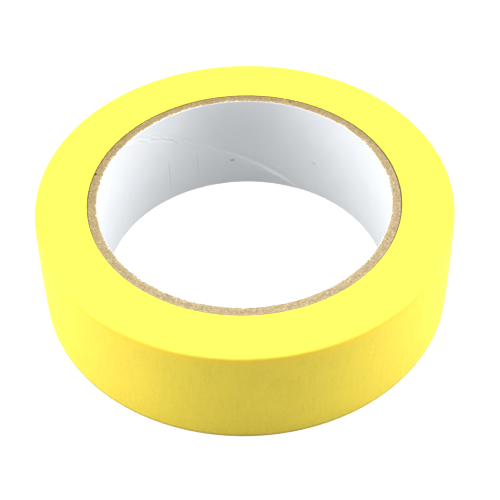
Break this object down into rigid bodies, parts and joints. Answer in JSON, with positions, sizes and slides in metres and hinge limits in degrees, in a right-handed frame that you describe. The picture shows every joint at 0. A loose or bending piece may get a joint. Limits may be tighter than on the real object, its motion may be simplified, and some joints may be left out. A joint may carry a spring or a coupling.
{
  "type": "masking tape roll",
  "caption": "Roll of crepe masking tape wound on a layered paper core; the tape's free end peels up on a chain of coupled hinges.",
  "frame": {"origin": "centre of the side face that the roll stands on", "axes": "+Z along the roll's axis, from the face it stands on to the face on top; the tape is wound anticlockwise seen from above, and its cut end lies 88 degrees round from +X"},
  "size_m": [0.1086, 0.1086, 0.0305],
  "materials": {
    "liner_paper": "matte white paper",
    "kraft_chipboard": "matte brown chipboard, cut edge",
    "wrap_paper": "matte grey-brown paper",
    "crepe_tape": "satin yellow crepe paper"
  },
  "bodies": {
    "roll": {"core_liner": "liner_paper", "core_ply_1": "kraft_chipboard", "core_ply_2": "kraft_chipboard", "core_ply_3": "kraft_chipboard", "core_ply_4": "kraft_chipboard", "core_wrap": "wrap_paper", "tape_roll": "crepe_tape"},
    "tail_1": {"tape_tail_1": "crepe_tape"},
    "tail_2": {"tape_tail_2": "crepe_tape"},
    "tail_3": {"tape_tail_3": "crepe_tape"},
    "tail_4": {"tape_tail_4": "crepe_tape"}
  },
  "joints": [
    {"name": "peel_1", "type": "hinge", "parent": "roll", "child": "tail_1", "pos_m": [0.03798, 0.03892, 0.01525], "axis": [0, 0, -1], "range_deg": [0, 35]},
    {"name": "peel_2", "type": "hinge", "parent": "tail_1", "child": "tail_2", "pos_m": [0.03019, 0.04523, 0.01525], "axis": [0, 0, -1], "range_deg": [0, 35]},
    {"name": "peel_3", "type": "hinge", "parent": "tail_2", "child": "tail_3", "pos_m": [0.02138, 0.05, 0.01525], "axis": [0, 0, -1], "range_deg": [0, 35]},
    {"name": "peel_4", "type": "hinge", "parent": "tail_3", "child": "tail_4", "pos_m": [0.01184, 0.05308, 0.01525], "axis": [0, 0, -1], "range_deg": [0, 35]}
  ],
  "couplings": [
    {"joint": "peel_2", "follows": "peel_1", "ratio": 1},
    {"joint": "peel_3", "follows": "peel_1", "ratio": 1},
    {"joint": "peel_4", "follows": "peel_1", "ratio": 1}
  ]
}
